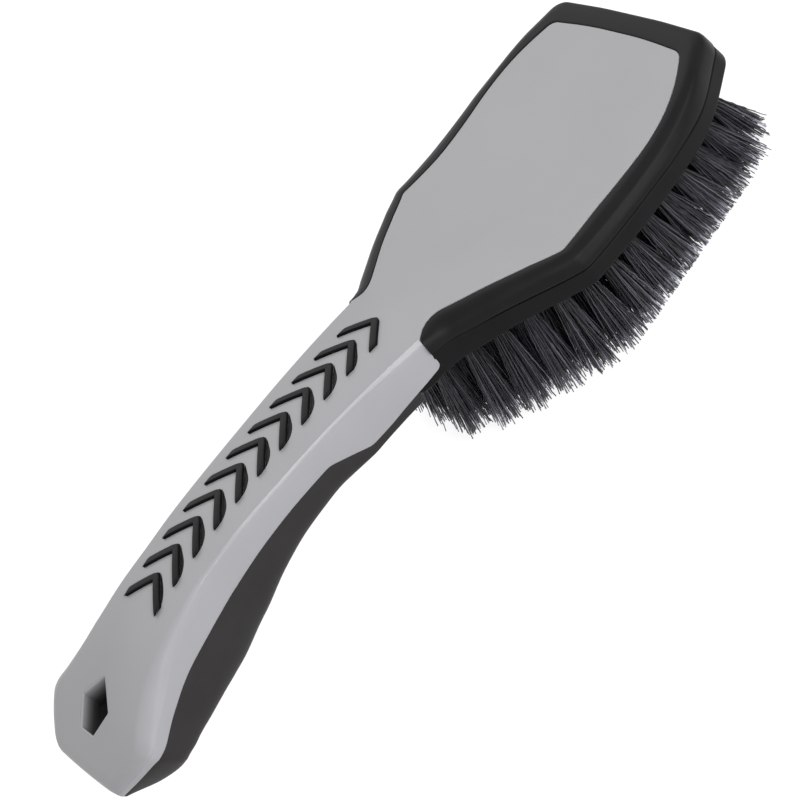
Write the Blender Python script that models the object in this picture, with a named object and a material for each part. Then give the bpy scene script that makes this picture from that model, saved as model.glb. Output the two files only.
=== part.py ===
# Tire brush: grey moulded core, black rubber overmould, bristle block and rows of tufts.
# The brush stands on its bristle tips at z = 0, its head toward +X and Y across.
# Sizes are written in millimetres and turned into metres when a mesh is made.
# "station" is the distance along the curved back of the brush, measured from the apex of
# the first chevron: positive toward the butt of the handle, negative toward the tip.
import math

import bpy
import bmesh
import numpy as np

MM = 0.001

# Clearances
GAP = 0.3                      # between touching pieces
CUT = 1.0                      # how far a cutter runs past the face it opens

# Place of the back curve's zero station above the bristle tips and along X
BACK_HEIGHT = 46.5
BACK_SHIFT = 14.11

# The back curve: slope in degrees at stations, positive where it climbs toward the butt
BACK_SLOPE = ((-125, -7.9), (-85, -1.0), (-45, 8.9), (-15, 14.7), (10, 11.6), (40, 7.2),
              (70, 4.2), (100, -4.5), (125, -18.0), (150, -27.9))

# Sideways crown of the back, as drop = crown * y * y, at stations
BACK_CROWN = ((-35, 0.0), (-12, 0.0025), (0, 0.007), (30, 0.0097), (60, 0.0112),
              (85, 0.0112), (112, 0.0074), (128, 0.0032), (140, 0.0014), (157, 0.0026))

# Outlines of half the head, from the middle of the tip to the neck:
# station, distance from the middle line, corner radius
PANEL_EDGE = ((-115.4, 0.0, 0.0), (-114.4, 28.7, 3.2), (-99.0, 36.2, 22.0),
              (-84.0, 37.4, 60.0), (-60.0, 36.3, 80.0), (-43.6, 37.5, 3.5),
              (-9.4, 15.8, 7.0), (-4.0, 16.1, 3.2), (-1.2, 18.8, 0.0))
HEAD_EDGE = ((-123.2, 0.0, 0.0), (-121.9, 31.6, 6.0), (-99.0, 41.6, 40.0),
             (-84.0, 43.9, 60.0), (-60.0, 44.2, 80.0), (-44.3, 44.3, 6.0),
             (-11.3, 23.8, 14.0), (-4.6, 20.9, 6.0), (-1.2, 20.7, 0.0))
# The block's outline goes on under the neck: station, distance from the middle line
BLOCK_TAIL = ((-0.9, 20.5), (3.5, 20.2), (7.0, 18.6), (8.6, 15.0))
EDGE_STEP = 9.0                # longest straight piece of an outline
CORNER_STEPS = 4               # straight pieces in a corner's arc

# Depths under the back, at stations
SEAM_DEPTH = ((-123, 7.4), (-104, 7.6), (-88, 6.0), (-70, 5.3), (-44, 5.7), (-20, 5.9),
              (-1, 7.2))
BLOCK_DEPTH = ((-123, 15.3), (-100, 13.9), (-82, 12.2), (-60, 12.0), (-36, 12.2),
               (-20, 12.9), (-1, 16.0), (9, 17.8))
# Where the rim's shoulder is full (1) and where it slopes (0), at stations
RIM_FULLNESS = ((-123, 1.0), (-95, 0.8), (-75, 0.0), (-42, 0.1), (-25, 0.9), (-1, 1.0))
BLOCK_INSET = 0.25             # the block stands this far inside the rim
RIM_SHOULDER = 0.3             # how much higher the rim's shoulder is where it is full
BLOCK_ROUND = 0.9              # rounding of the block's lower edge
NECK_END = -0.9                # the head's rim stops here, against the handle
TAIL_END = 8.6                 # the block's tail under the neck stops here

# Handle sections at stations: half width of the top face, depth of the lower edge of the
# grey side, half width there, full depth of the grip
TOP_HALF = ((-1, 19.0), (8, 18.7), (16, 17.6), (24, 16.8), (40, 15.9), (56, 15.3),
            (72, 14.8), (88, 14.6), (104, 16.2), (112, 17.0), (120, 18.7), (128, 21.2),
            (134.6, 23.6), (138.8, 25.4), (141.2, 25.7), (143.2, 25.0), (148, 22.6),
            (157, 16.3))
SIDE_DEPTH = ((-1, 12.4), (4, 13.3), (16, 15.1), (26, 16.4), (34, 15.1), (41, 11.9),
              (48, 10.8), (62, 11.1), (80, 12.5), (96, 13.0), (112, 12.2), (120, 10.9),
              (136, 8.1), (144, 5.9), (150, 5.1), (157, 5.1))
SIDE_FLARE = ((-1, 2.0), (24, 2.0), (44, 1.4), (80, 1.5), (112, 1.3), (136, 1.2),
              (157, 0.6))
GRIP_DEPTH = ((-1, 17.6), (8, 18.6), (16, 19.4), (24, 20.2), (32, 21.4), (48, 23.0),
              (60, 24.4), (72, 27.4), (88, 32.1), (104, 33.7), (112, 33.1), (120, 31.2),
              (128, 28.1), (136, 23.7), (141.2, 21.3), (145, 20.6), (150, 18.2), (157, 8.6))
GRIP_SQUARENESS = ((-1, 7.0), (26, 6.0), (48, 4.0), (157, 4.0))
GRIP_THICKNESS = 2.6
SIDE_BULGE = 0.25              # how far the grey side swells past a straight line
# Rounding between the top face and the side, at stations
EDGE_ROUND = ((-1, 1.0), (40, 1.2), (96, 1.5), (116, 2.6), (130, 4.2), (144, 4.4), (157, 3.4))
BUTT_END = 157.0               # station of the flat end face
BUTT_ROUND = 2.6               # how far the top falls as it rounds into the end face
BUTT_ROUND_LENGTH = 5.0

# Ribs: chevrons that point to the head
RIB_COUNT = 11
RIB_PITCH = 9.6
RIB_ARM_BACK = 8.2             # from the apex back to the arm's end
RIB_ARM_OUT = 8.0              # from the middle line out to the arm's end
RIB_WIDTH = 2.4                # at its root
RIB_TOP_WIDTH = 1.9
RIB_TOP_ROUND = 0.3            # rounding of the top's edges
RIB_SHIFT = -0.5               # of the whole chevron, toward the head
RIB_HEIGHT = 1.0
RIB_BULGE = 1.5                # the pad's bulge outside the arm
RIB_DEPTH = 1.5                # depth of the pad let into the core

# Hang hole: a pentagon that points to the head
HOLE_TO_END = 12.1             # from its base to the butt's end
HOLE_TAIL = 8.3                # from its base to its shoulders
HOLE_POINT = 8.4               # from its shoulders to its apex
HOLE_SHOULDER_HALF = 7.1
HOLE_BASE_HALF = 3.1

# Bristles: rows of tufts, each row in a strip of its own let into the block
ROW_COUNT = 14
FIRST_ROW = -107.0             # station of the row nearest the tip
LAST_ROW = -3.6
TUFT_PITCH = 8.7
OUTER_TUFT = ((-107.0, 31.6), (-100, 36.2), (-88, 39.0), (-66, 39.3), (-45, 38.6),
              (-24, 27.5), (-10, 17.0), (-3.6, 10.5))
STRIP_WIDTH = 3.8
STRIP_THICKNESS = 3.0
STRIP_OVERHANG = 2.0           # strip beyond the outer tuft
STRIP_RECESS = 0.2             # strip's face above the block's face
STRAND_RADIUS = 0.5
STRAND_TIP_RADIUS = 0.42
STRAND_OFFSET = 0.78           # strands stand at the corners of a square of twice this
STRAND_SPREAD = 3.1            # the square's growth from root to tip
FIELD_SPREAD = 1.11            # growth of the whole field from root to tip
FIELD_CENTRE = 60.0            # x of the field's middle, from the back's zero station
STRAND_ROOT = 0.8              # length buried in the strip
STRAND_SHORT = 0.8             # how much the short strands lack


def smooth_table(rows):
    """Cubic through (station, value) rows that doesn't overshoot them."""
    x = np.array([row[0] for row in rows], float)
    y = np.array([row[1] for row in rows], float)
    step = np.diff(x)
    chord = np.diff(y) / step
    slope = np.zeros(len(x))
    slope[0] = chord[0]
    slope[-1] = chord[-1]
    same_way = chord[:-1] * chord[1:] > 0
    mean = 2 * chord[:-1] * chord[1:] / np.where(same_way, chord[:-1] + chord[1:], 1.0)
    slope[1:-1] = np.where(same_way, mean, 0.0)

    def value(station):
        s = np.clip(station, x[0], x[-1])
        i = np.clip(np.searchsorted(x, s, side="right") - 1, 0, len(step) - 1)
        t = (s - x[i]) / step[i]
        start = (1 + 2 * t) * (1 - t) ** 2 * y[i] + t * (1 - t) ** 2 * step[i] * slope[i]
        end = t * t * (3 - 2 * t) * y[i + 1] + t * t * (t - 1) * step[i] * slope[i + 1]
        return start + end

    return value


back_slope = smooth_table(BACK_SLOPE)
back_crown = smooth_table(BACK_CROWN)
seam_depth = smooth_table(SEAM_DEPTH)
block_depth = smooth_table(BLOCK_DEPTH)
top_half = smooth_table(TOP_HALF)
side_depth = smooth_table(SIDE_DEPTH)
side_flare = smooth_table(SIDE_FLARE)
grip_depth = smooth_table(GRIP_DEPTH)
grip_squareness = smooth_table(GRIP_SQUARENESS)
edge_round = smooth_table(EDGE_ROUND)
rim_fullness = smooth_table(RIM_FULLNESS)
outer_tuft = smooth_table(OUTER_TUFT)


def back_curve():
    """X and Z of the back along fine stations, found by adding up its slope."""
    stations = np.linspace(-140, 180, 1281)
    slope = np.radians(back_slope(stations))
    step = stations[1] - stations[0]
    along = -np.cos(slope)
    up = np.sin(slope)
    x = np.concatenate([[0.0], np.cumsum(along[1:] + along[:-1])]) * step / 2
    z = np.concatenate([[0.0], np.cumsum(up[1:] + up[:-1])]) * step / 2
    x -= np.interp(0.0, stations, x)
    z -= np.interp(0.0, stations, z)
    return stations, x + BACK_SHIFT, z + BACK_HEIGHT


BACK_STATIONS, BACK_X, BACK_Z = back_curve()


def place(station, across, height):
    """Point at a station, at a distance across and a height square to the back."""
    slope = np.radians(back_slope(station))
    x = np.interp(station, BACK_STATIONS, BACK_X) + height * np.sin(slope)
    z = np.interp(station, BACK_STATIONS, BACK_Z) + height * np.cos(slope)
    return np.array([x, across, z], float)


def top_height(station, across):
    """Height of the back's crowned surface, which rounds down at the butt."""
    into_end = np.clip((station - BUTT_END + BUTT_ROUND_LENGTH) / BUTT_ROUND_LENGTH, 0, 1)
    fall = BUTT_ROUND * (1 - math.sqrt(1 - into_end ** 2 * 0.999))
    return -back_crown(station) * across ** 2 - fall


def rounded_path(corners, steps_like=None):
    """Points along a polyline whose corners are arcs, with long straights divided.

    steps_like gives the corners whose lengths set the number of points, so that two
    outlines made from matching corners have matching points.
    """
    steps_like = steps_like or corners
    ends = []
    for path in (corners, steps_like):
        spots = [np.array(c[:2], float) for c in path]
        arcs = [(spots[0], spots[0], None)]
        for before, here, after, corner in zip(spots, spots[1:], spots[2:], path[1:]):
            back = (before - here) / np.linalg.norm(before - here)
            ahead = (after - here) / np.linalg.norm(after - here)
            half = math.acos(np.clip(back @ ahead, -1, 1)) / 2
            run = corner[2] / math.tan(half)
            middle = here + (back + ahead) / np.linalg.norm(back + ahead) * \
                corner[2] / math.sin(half)
            arcs.append((here + back * run, here + ahead * run, middle))
        arcs.append((spots[-1], spots[-1], None))
        ends.append(arcs)
    points = [ends[0][0][1]]
    for index in range(1, len(corners)):
        start, end, middle = ends[0][index]
        span = np.linalg.norm(ends[1][index][0] - ends[1][index - 1][1])
        count = max(1, math.ceil(span / EDGE_STEP))
        last = points[-1]
        for i in range(1, count + 1):
            points.append(last + (start - last) * i / count)
        if middle is None:
            continue
        arm = start - middle
        swing = math.atan2(*(end - middle)[::-1]) - math.atan2(*arm[::-1])
        swing = (swing + math.pi) % (2 * math.pi) - math.pi
        for i in range(1, CORNER_STEPS + 1):
            turn = swing * i / CORNER_STEPS
            spin = np.array([[math.cos(turn), -math.sin(turn)],
                             [math.sin(turn), math.cos(turn)]])
            points.append(middle + spin @ arm)
    return np.array(points)


def push_out(path, distance):
    """Moves each point of a half outline square to it, away from the middle."""
    ahead = np.gradient(path, axis=0)
    ahead /= np.linalg.norm(ahead, axis=1)[:, None]
    ahead[0] = (0.0, 1.0)
    normal = np.stack([-ahead[:, 1], ahead[:, 0]], 1)
    moved = path + normal * distance
    moved[0, 1] = 0.0
    return moved


def new_object(name, points, faces, material, smooth_angle=35):
    """Object whose mesh is given in millimetres, with its faces turned outward."""
    mesh = bpy.data.meshes.new(name)
    mesh.from_pydata([tuple(np.asarray(p) * MM) for p in points], [], faces)
    shell = bmesh.new()
    shell.from_mesh(mesh)
    bmesh.ops.remove_doubles(shell, verts=shell.verts, dist=0.00001)
    bmesh.ops.dissolve_degenerate(shell, edges=shell.edges, dist=0.00001)
    bmesh.ops.recalc_face_normals(shell, faces=shell.faces)
    shell.to_mesh(mesh)
    shell.free()
    if material:
        mesh.materials.append(material)
    mesh.shade_smooth()
    mesh.set_sharp_from_angle(angle=math.radians(smooth_angle))
    piece = bpy.data.objects.new(name, mesh)
    bpy.context.scene.collection.objects.link(piece)
    return piece


def join_rings(rings):
    """Points and faces of an open ended skin through rings of equal length."""
    size = len(rings[0])
    points = [p for ring in rings for p in ring]
    faces = []
    for r in range(len(rings) - 1):
        a = r * size
        b = a + size
        for i in range(size):
            j = (i + 1) % size
            faces.append((a + i, a + j, b + j, b + i))
    return points, faces


def end_bases(points, size):
    """Index of the first point of the first and of the last ring."""
    return 0, len(points) - size


def fan_ends(points, faces, size, middles):
    """Closes both ends with a fan round a middle point each."""
    for base, middle in zip(end_bases(points, size), middles):
        faces += [(base + i, base + (i + 1) % size, len(points)) for i in range(size)]
        points.append(middle)


def strip_ends(points, faces, size):
    """Closes both ends with strips between the two mirrored halves of a ring."""
    for base in end_bases(points, size):
        for i in range((size - 1) // 2):
            j = size - 1 - i
            corners = (base + i, base + i + 1, base + j - 1, base + j)
            faces.append(corners if i + 1 < j - 1 else corners[:2] + corners[3:])


def mirrored(half):
    """Full ring from a half ring that runs from the top to the bottom."""
    return [(y, h) for y, h in half] + [(-y, h) for y, h in reversed(half)]


def cut(piece, cutter):
    """Boolean cut that leaves the cutter as a wire guide."""
    cutter.hide_render = True
    cutter.display_type = 'WIRE'
    modifier = piece.modifiers.new("cut " + cutter.name, 'BOOLEAN')
    modifier.operation = 'DIFFERENCE'
    modifier.solver = 'EXACT'
    modifier.object = cutter


def material(name, colour, roughness):
    """Plain moulded plastic or rubber, its colour given in linear values."""
    made = bpy.data.materials.new(name)
    made.use_nodes = True
    shader = made.node_tree.nodes["Principled BSDF"]
    shader.inputs["Base Color"].default_value = (*colour, 1.0)
    shader.inputs["Roughness"].default_value = roughness
    shader.inputs["Metallic"].default_value = 0.0
    return made


def grey_plastic():
    return material("grey polypropylene", (0.42, 0.42, 0.44), 0.45)


def black_rubber():
    return material("black rubber", (0.028, 0.027, 0.027), 0.62)


def block_plastic():
    return material("black polypropylene", (0.021, 0.020, 0.020), 0.5)


def bristle_nylon():
    return material("black bristle", (0.030, 0.030, 0.034), 0.5)


def superellipse(half_width, depth, squareness):
    """Points of a quarter of a rounded box, between its side and its bottom."""
    turns = np.radians((14, 30, 45, 60, 76))
    power = 2.0 / squareness
    return [(half_width * math.cos(t) ** power, -depth * math.sin(t) ** power)
            for t in turns]


def plate_ring(station, half):
    """Section of the core inside the head: a flat plate."""
    depth = seam_depth(station)
    top = [(half * f, top_height(station, half * f))
           for f in (0.01, 0.35, 0.7, 0.9, 0.97, 1.0)]
    side = [(half, -depth * 0.45), (half, -depth), (half * 0.93, -depth)]
    below = [(half * f, -depth) for f in (0.85, 0.7, 0.5, 0.3, 0.15, 0.01)]
    return mirrored(top + side + below)


def side_edge(station):
    """Half width at the lower edge of the handle's grey side."""
    return top_half(station) + side_flare(station)


def handle_ring(station):
    """Section of the core in the handle: crowned top, leaning sides, narrower keel.

    Over the block's tail the keel is left out and the section is flat below.
    """
    half = top_half(station)
    edge = side_edge(station)
    depth = side_depth(station)
    corner = top_height(station, half)
    bend = edge_round(station)
    drop = min(bend, 0.45 * (depth + corner))
    start = drop / (depth + corner)
    top = [(half * f, top_height(station, half * f)) for f in (0.01, 0.35, 0.7)]
    top += [(half - bend, top_height(station, half - bend)),
            (half - bend * 0.25, corner - drop * 0.25)]
    wall = [(half + side_flare(station) * f + SIDE_BULGE * 4 * f * (1 - f),
             corner - (corner + depth) * f) for f in (start, (start + 1) / 2)]
    keel_half = edge - GRIP_THICKNESS
    keel_depth = grip_depth(station) - GRIP_THICKNESS
    below = [(edge, -depth), (keel_half, -depth)]
    if station < TAIL_END + GAP:
        below += [(keel_half * f, -depth) for f in (0.9, 0.75, 0.55, 0.35, 0.15, 0.01)]
    else:
        keel = superellipse(keel_half, keel_depth - depth, grip_squareness(station))
        below += [(y, h - depth) for y, h in keel] + [(half * 0.01, -keel_depth)]
    return mirrored(top + wall + below)


def handle_stations(start):
    """Stations along the handle, closer where its width changes fast."""
    run = np.arange(start, 116, 6.0)
    flare = np.arange(118, BUTT_END - BUTT_ROUND_LENGTH, 3.0)
    last = BUTT_END - BUTT_ROUND_LENGTH * np.array([1.0, 0.64, 0.36, 0.16, 0.0])
    return np.concatenate([run, flare, last])


def ring_points(station, ring):
    return [place(station, y, h) for y, h in ring]


def make_core(grey):
    panel = rounded_path(PANEL_EDGE, HEAD_EDGE)
    rings = []
    for station, half in panel[1:-1]:
        rings.append(ring_points(station, plate_ring(station, half)))
    rings.append(ring_points(NECK_END, plate_ring(NECK_END, top_half(NECK_END))))
    over_tail = (NECK_END + GAP, 4.0, TAIL_END)
    for station in (*over_tail, *handle_stations(TAIL_END + GAP)):
        rings.append(ring_points(station, handle_ring(station)))
    points, faces = join_rings(rings)
    tip = place(panel[1][0], 0.0, -seam_depth(panel[1][0]) / 2)
    butt = place(BUTT_END, 0.0, -(BUTT_ROUND + side_depth(BUTT_END)) / 2)
    fan_ends(points, faces, len(rings[0]), (tip, butt))
    core = new_object("core", points, faces, grey)
    cut(core, rib_pockets())
    cut(core, hang_hole())
    return core


def hang_hole():
    """Upright five sided prism through the butt."""
    base = BUTT_END - HOLE_TO_END
    shoulder = base - HOLE_TAIL
    outline = ((shoulder - HOLE_POINT, 0.0), (shoulder, HOLE_SHOULDER_HALF),
               (base, HOLE_BASE_HALF), (base, -HOLE_BASE_HALF),
               (shoulder, -HOLE_SHOULDER_HALF))
    points = []
    for level in (0.0, 2 * BACK_HEIGHT):
        for station, across in outline:
            x = place(station, across, 0.0)[0]
            points.append((x, across, level))
    faces = [(0, 1, 2, 3, 4), (5, 6, 7, 8, 9)]
    faces += [(i, (i + 1) % 5, 5 + (i + 1) % 5, 5 + i) for i in range(5)]
    return new_object("hang_hole_cutter", points, faces, None)


def chevron(width, bulge, grow=0.0):
    """Outer and inner edge of a chevron, as (back from the apex, across) pairs.

    The outer edge swells by the bulge between its apex and its end, and the arm's end is
    cut slanting, with the inner edge the longer one.
    """
    length = math.hypot(RIB_ARM_BACK, RIB_ARM_OUT)
    along = np.array([RIB_ARM_BACK, RIB_ARM_OUT]) / length
    outward = np.array([-along[1], along[0]])
    apex_outer = -grow / abs(outward[0])
    apex_inner = (width + grow) / abs(outward[0])
    outer = [(apex_outer, 0.0)]
    inner = [(apex_inner, 0.0)]
    for f in (0.3, 0.62, 0.86, 1.0):
        swell = bulge * math.sin(math.pi * min(f / 0.62, 1.0) / 2) * (1 - f ** 6)
        taper = 0.55 * width if f == 1.0 else 0.0
        middle = along * (length * f + (grow if f == 1.0 else 0.0))
        outer.append(tuple(middle + outward * (swell + grow - taper)))
        inner.append(tuple(middle - outward * (width + grow) +
                           along * (0.0 if f < 1.0 else 0.5)))
    return outer, inner


def chevron_ring(edges, apex, height):
    """Closed ring of points: right outer edge, left outer edge, then the inner edge."""
    outer, inner = edges
    run = [(b, -a) for b, a in reversed(outer)] + outer[1:]
    back = [(b, a) for b, a in reversed(inner)] + [(b, -a) for b, a in inner[1:]]
    ring = []
    for behind, across in run + back:
        station = apex + behind
        ring.append(place(station, across, top_height(station, across) + height))
    return ring


def rib_shape(apex, levels):
    """Skin through chevron rings; each level is (width, bulge, inset, grow, height)."""
    rings = []
    for width, bulge, inset, grow, height in levels:
        rings.append(chevron_ring(chevron(width, bulge, grow), apex + inset, height))
    points, faces = join_rings(rings)
    strip_ends(points, faces, len(rings[0]))
    return points, faces


def make_rib(number, rubber):
    """Pad level with the core, and on it a rib with tapering walls and rounded edges."""
    apex = RIB_PITCH * number + RIB_SHIFT
    inset = (RIB_WIDTH - RIB_TOP_WIDTH) * 0.7
    shoulder = RIB_TOP_WIDTH + 0.2
    levels = ((RIB_WIDTH, RIB_BULGE, 0.0, 0.0, -RIB_DEPTH),
              (RIB_WIDTH, RIB_BULGE, 0.0, 0.0, 0.0),
              (RIB_WIDTH, 0.0, 0.0, -0.05, 0.06),
              (shoulder, 0.0, inset * 0.8, 0.0, RIB_HEIGHT - RIB_TOP_ROUND),
              (RIB_TOP_WIDTH, 0.0, inset, -0.1, RIB_HEIGHT))
    return new_object("rib_%02d" % (number + 1), *rib_shape(apex, levels), rubber)


def rib_pockets():
    """One cutter with a pocket for every rib, a clearance wider and deeper."""
    points = []
    faces = []
    for number in range(RIB_COUNT):
        levels = ((RIB_WIDTH, RIB_BULGE, 0.0, GAP, -RIB_DEPTH - GAP),
                  (RIB_WIDTH, RIB_BULGE, 0.0, GAP, CUT))
        more, skin = rib_shape(RIB_PITCH * number + RIB_SHIFT, levels)
        faces += [tuple(len(points) + i for i in face) for face in skin]
        points += more
    return new_object("rib_pocket_cutter", points, faces, None)


def make_rim(rubber):
    """Rubber round the head's edge, open at the neck."""
    inner = push_out(rounded_path(PANEL_EDGE, HEAD_EDGE), GAP)
    outer = rounded_path(HEAD_EDGE)
    section = ((0.0, 1.0, 0.0), (0.0, 0.0, 0.1), (0.08, 0.0, 0.4), (0.45, 0.03, 0.3),
               (0.76, 0.17, 0.0), (0.92, 0.38, 0.0), (1.0, 0.74, 0.0), (1.0, 0.9, 0.0),
               (0.97, 1.0, 0.0))
    rings = []
    for side in (-1, 1):
        pairs = list(zip(inner, outer))
        pairs = reversed(pairs) if side < 0 else pairs[1:]
        for near, far in pairs:
            ring = []
            for share, fall, lift in section:
                station, across = near + (far - near) * share
                if 0.1 < fall < 0.8:
                    fall *= 1 - RIM_SHOULDER * rim_fullness(station)
                top = top_height(station, across)
                level = top + lift - fall * (seam_depth(station) + top + lift)
                ring.append(place(station, side * across, level))
            rings.append(ring)
    points, faces = join_rings(rings)
    for base in end_bases(points, len(section)):
        faces.append(tuple(range(base, base + len(section))))
    return new_object("rim", points, faces, rubber)


def outline_ring(path, depth, height_of):
    """Full outline at a depth, from the right neck end round the tip to the left."""
    ring = [place(s, -y, height_of(s) + depth) for s, y in reversed(path)]
    ring += [place(s, y, height_of(s) + depth) for s, y in path[1:]]
    return ring


def stack(path_levels):
    """Solid through full outlines; the flat ends are strips across the head."""
    rings = [outline_ring(path, depth, height_of) for path, depth, height_of in path_levels]
    points, faces = join_rings(rings)
    strip_ends(points, faces, len(rings[0]))
    return points, faces


def block_top(station):
    """Height of what lies on the block: the plate in the head, the handle on its tail."""
    if station > HEAD_EDGE[-1][0]:
        return -side_depth(station)
    return -seam_depth(station)


def make_block(plastic):
    """Bristle block under the plate, the rim and the neck, with a groove for each strip."""
    outline = np.concatenate([rounded_path(HEAD_EDGE), BLOCK_TAIL])
    side = push_out(outline, -BLOCK_INSET)
    foot = push_out(outline, -BLOCK_INSET - BLOCK_ROUND)
    levels = ((side, -GAP, block_top),
              (side, BLOCK_ROUND, lambda s: -block_depth(s)),
              (foot, 0.0, lambda s: -block_depth(s)))
    block = new_object("block", *stack(levels), plastic)
    cut(block, strip_grooves())
    return block


def row_station(row):
    return FIRST_ROW + (LAST_ROW - FIRST_ROW) * row / (ROW_COUNT - 1)


def row_tufts(row):
    """Distances across of a row's tufts, evenly spread between its outer ones."""
    reach = outer_tuft(row_station(row))
    count = int(2 * reach / TUFT_PITCH) + 1
    if row % 2 and count > 6:
        count -= 1
    return np.linspace(-reach, reach, count)


def strip_box(row, grow, below):
    """Corners of a row's strip, grown by a clearance and run below the block."""
    station = row_station(row)
    half = row_tufts(row)[-1] + STRIP_OVERHANG + grow
    low = -block_depth(station) + STRIP_RECESS
    high = low + STRIP_THICKNESS + grow
    points = []
    for height in (low - below, high):
        for along, across in ((-1, -1), (1, -1), (1, 1), (-1, 1)):
            spot = place(station, across * half, height)
            slope = math.radians(back_slope(station))
            shift = along * (STRIP_WIDTH / 2 + grow)
            points.append(spot + np.array([-math.cos(slope), 0, math.sin(slope)]) * shift)
    faces = [(0, 1, 2, 3), (4, 5, 6, 7)]
    faces += [(i, (i + 1) % 4, 4 + (i + 1) % 4, 4 + i) for i in range(4)]
    return points, faces


def strip_grooves():
    points = []
    faces = []
    for row in range(ROW_COUNT):
        more, skin = strip_box(row, GAP, CUT + STRIP_RECESS)
        faces += [tuple(len(points) + i for i in face) for face in skin]
        points += more
    return new_object("strip_groove_cutter", points, faces, None)


def strand_lift(row, tuft, corner):
    """Height of a strand's cut end: every third one is short, by one or two steps."""
    turn = (row * 7 + tuft * 5 + corner * 3) % 6
    return STRAND_SHORT * (0, 0, 1, 0, 0, 2)[turn]


def strands(row):
    """Three sided strands of a row, from inside its strip to the ground plane."""
    station = row_station(row)
    slope = math.radians(back_slope(station))
    along = np.array([-math.cos(slope), 0, math.sin(slope)])
    low = -block_depth(station) + STRIP_RECESS
    centre = np.array([FIELD_CENTRE + BACK_SHIFT, 0.0])
    points = []
    faces = []
    for tuft, across in enumerate(row_tufts(row)):
        root = place(station, across, low)
        foot = centre + (root[:2] - centre) * FIELD_SPREAD
        for corner in range(4):
            turn = math.pi / 4 + math.pi / 2 * corner + 0.35 * ((row + tuft) % 3 - 1)
            offset = np.array([math.cos(turn), math.sin(turn)]) * STRAND_OFFSET * 1.414
            start = root - along * offset[0] + np.array([0.0, offset[1], 0.0])
            tip = np.append(foot + offset * STRAND_SPREAD, strand_lift(row, tuft, corner))
            inside = start - (tip - start) / np.linalg.norm(tip - start) * STRAND_ROOT
            base = len(points)
            for spot, radius in ((inside, STRAND_RADIUS), (tip, STRAND_TIP_RADIUS)):
                for side in range(3):
                    angle = turn + 2 * math.pi * side / 3
                    points.append(spot + radius * np.array([math.cos(angle),
                                                            math.sin(angle), 0.0]))
            faces.append((base, base + 1, base + 2))
            faces.append((base + 3, base + 4, base + 5))
            for i in range(3):
                j = (i + 1) % 3
                faces.append((base + i, base + j, base + 3 + j, base + 3 + i))
    return points, faces


def make_row(row, nylon):
    """Strip with its strands joined to it."""
    strip = new_object("bristles_%02d" % (row + 1), *strip_box(row, 0.0, 0.0), nylon)
    hair = new_object("strands_%02d_guide" % (row + 1), *strands(row), nylon)
    hair.hide_render = True
    hair.display_type = 'WIRE'
    join = strip.modifiers.new("strands", 'BOOLEAN')
    join.operation = 'UNION'
    join.solver = 'EXACT'
    join.object = hair
    return strip


def grip_ring(station):
    """Closed section of the rubber grip: outer skin down, inner skin back up."""
    edge = side_edge(station)
    top = side_depth(station) + GAP
    depth = grip_depth(station)
    squareness = grip_squareness(station)
    outer = [(edge - 0.1, -top), (edge, -top - 0.5)]
    outer += [(y, h - top) for y, h in superellipse(edge, depth - top, squareness)]
    outer.append((edge * 0.01, -depth))
    inner_edge = edge - GRIP_THICKNESS + GAP
    inner = [(inner_edge, -top)]
    inner += [(y, h - top) for y, h in
              superellipse(inner_edge, depth - GRIP_THICKNESS + GAP - top, squareness)]
    inner.append((edge * 0.01, -depth + GRIP_THICKNESS - GAP))
    return outer, inner


def make_grip(rubber):
    """Rubber under the handle, from the neck to the butt, with the hang hole in it."""
    rings = []
    for station in handle_stations(TAIL_END + GAP):
        outer, inner = grip_ring(station)
        loop = [(-y, h) for y, h in outer] + [(y, h) for y, h in reversed(outer)]
        loop += [(y, h) for y, h in inner] + [(-y, h) for y, h in reversed(inner)]
        rings.append(ring_points(station, loop))
    points, faces = join_rings(rings)
    for base in end_bases(points, 2 * (len(outer) + len(inner))):
        faces += grip_cap(base, len(outer), len(inner))
    grip = new_object("grip", points, faces, rubber)
    cut(grip, bpy.data.objects["hang_hole_cutter"])
    return grip


def grip_cap(base, outer_count, inner_count):
    """Faces that close the U shaped end between the outer and the inner skin."""
    size = 2 * (outer_count + inner_count)
    faces = [(base, base + 1, base + size - 1)]
    faces.append((base + 2 * outer_count - 1, base + 2 * outer_count,
                  base + 2 * outer_count - 2))
    for i in range(1, 2 * outer_count - 2):
        inner_a = size - i
        inner_b = inner_a - 1
        faces.append((base + i, base + i + 1, base + inner_b, base + inner_a))
    return faces


def build():
    for old in list(bpy.data.objects):
        bpy.data.objects.remove(old, do_unlink=True)
    grey = grey_plastic()
    rubber = black_rubber()
    make_core(grey)
    make_grip(rubber)
    make_rim(rubber)
    for number in range(RIB_COUNT):
        make_rib(number, rubber)
    make_block(block_plastic())
    nylon = bristle_nylon()
    for row in range(ROW_COUNT):
        make_row(row, nylon)


build()
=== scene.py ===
# Looks of a tire brush on a white sweep: light grey handle with black rubber, chevron ribs,
# and a dense field of crimped bristles.
import math

import bmesh
import bpy
import numpy as np
from mathutils import Euler, Matrix, Vector


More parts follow.
